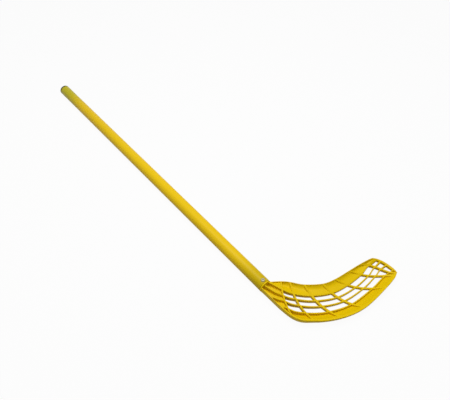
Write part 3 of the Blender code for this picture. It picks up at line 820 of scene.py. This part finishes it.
def make_rivet():
    """The set rivet: a body with a domed head on the crown of the tube and a swollen blind end,
    and the broken stem inside it."""
    under_spigot = TUBE_RADIUS - TUBE_WALL - SEAT_GAP - SPIGOT_WALL
    blind = under_spigot - RIVET_BLIND_LENGTH
    brim = TUBE_RADIUS + SEAT_GAP
    crown = brim + RIVET_HEAD_HEIGHT
    bore, shank, head = RIVET_BORE_RADIUS, RIVET_SHANK_RADIUS, RIVET_HEAD_RADIUS
    land = bore + RIVET_HEAD_LAND
    dome = [(land + (head - land) * math.sin(angle), brim + RIVET_HEAD_HEIGHT * math.cos(angle))
            for angle in np.linspace(0.0, RIVET_DOME_TURN, DOME_POINTS)]
    swell = [(shank + RIVET_BULGE * math.sin(angle),
              under_spigot - RIVET_BULGE * (2 - math.cos(angle)))
             for angle in np.linspace(0.0, math.pi, ARC_POINTS)]
    body = turned("rivet_shell", [(bore, crown), *dome, (head, brim), (shank, brim), *swell,
                                  (shank, blind), (bore, blind)],
                  rivet_place(), lying=False, material=rivet_aluminium(), steps=SMALL_TURN_STEPS)
    stem_radius = bore - SEAT_GAP
    seat = blind - SEAT_GAP
    knob = seat - STEM_KNOB_HEIGHT
    stem = turned("rivet_pin", [
        (0.0, crown - STEM_RECESS), (stem_radius, crown - STEM_RECESS), (stem_radius, seat),
        (shank, seat), (shank, (seat + knob) / 2), (stem_radius, knob), (0.0, knob),
    ], rivet_place(), lying=False, material=rivet_steel(), steps=SMALL_TURN_STEPS)
    return body, stem


def dress(piece, node):
    """Makes a piece stand for its CAD node, on the stick's only body."""
    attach(piece, "root")
    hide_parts(node)


def make_floor():
    """A plain grey floor that keeps the stick's shadow, nearly white to the camera."""
    quarters = ((-1, -1), (1, -1), (1, 1), (-1, 1))
    corners = [(x * FLOOR_REACH, y * FLOOR_REACH, 0) for x, y in quarters]
    floor = new_object("floor", corners, [(0, 1, 2, 3)])
    finish = Finish("floor_paper", {"Base Color": FLOOR_GREY, "Roughness": 1.0,
                                    "Specular IOR Level": 0.0})
    glow = finish.node("Emission", {}, {"Color": WHITE, "Strength": 1.0})
    blend = finish.node("MixShader", {}, {0: finish.seen_by_camera() * FLOOR_GLOW})
    finish.feed(blend.inputs[1], finish.shader.outputs["BSDF"])
    finish.feed(blend.inputs[2], glow.outputs["Emission"])
    finish.feed(finish.tree.nodes["Material Output"].inputs["Surface"], blend.outputs["Shader"])
    shade(floor, finish.material)


def make_light():
    """Soft daylight all round, white to the camera, and a large lamp above."""
    world = bpy.data.worlds.new("studio")
    world.use_nodes = True
    bpy.context.scene.world = world
    sky = Tree(world.node_tree)
    background = sky.tree.nodes["Background"]
    sky.feed(background.inputs["Color"], WHITE)
    sky.feed(background.inputs["Strength"],
             sky.seen_by_camera() * (1.0 - SKY_STRENGTH) + SKY_STRENGTH)

    lamp = bpy.data.lights.new("key", "AREA")
    lamp.shape = "DISK"
    lamp.size = KEY_SIZE
    lamp.energy = KEY_WATTS
    key = bpy.data.objects.new("key", lamp)
    key.location = DATUM + Vector(KEY_OFFSET)
    aim = DATUM + Vector(KEY_AIM) - key.location
    key.rotation_euler = aim.to_track_quat("-Z", "Y").to_euler()
    bpy.context.scene.collection.objects.link(key)


def make_camera():
    """The photo's view."""
    lens = bpy.data.cameras.new("camera")
    lens.sensor_width = SENSOR_WIDTH
    lens.lens = SENSOR_WIDTH * FOCAL_PIXELS / PICTURE_WIDTH
    lens.shift_x = -SHIFT_PIXELS / PICTURE_WIDTH
    lens.shift_y = SHIFT_PIXELS / PICTURE_WIDTH
    camera = bpy.data.objects.new("camera", lens)
    camera.location = DATUM + CAMERA_OFFSET
    camera.rotation_euler = (math.pi / 2 - CAMERA_PITCH, 0.0, -CAMERA_HEADING)
    bpy.context.scene.collection.objects.link(camera)
    bpy.context.scene.camera = camera


def main():
    """Dresses the stick and sets the stage."""
    dress(make_blade(), "blade")
    dress(make_tube(), "shaft_tube")
    dress(make_cap(), "end_cap")
    shell, pin = make_rivet()
    dress(shell, "rivet_body")
    dress(pin, "rivet_stem")
    make_floor()
    make_light()
    make_camera()
    bpy.context.scene.view_settings.view_transform = "Standard"


main()
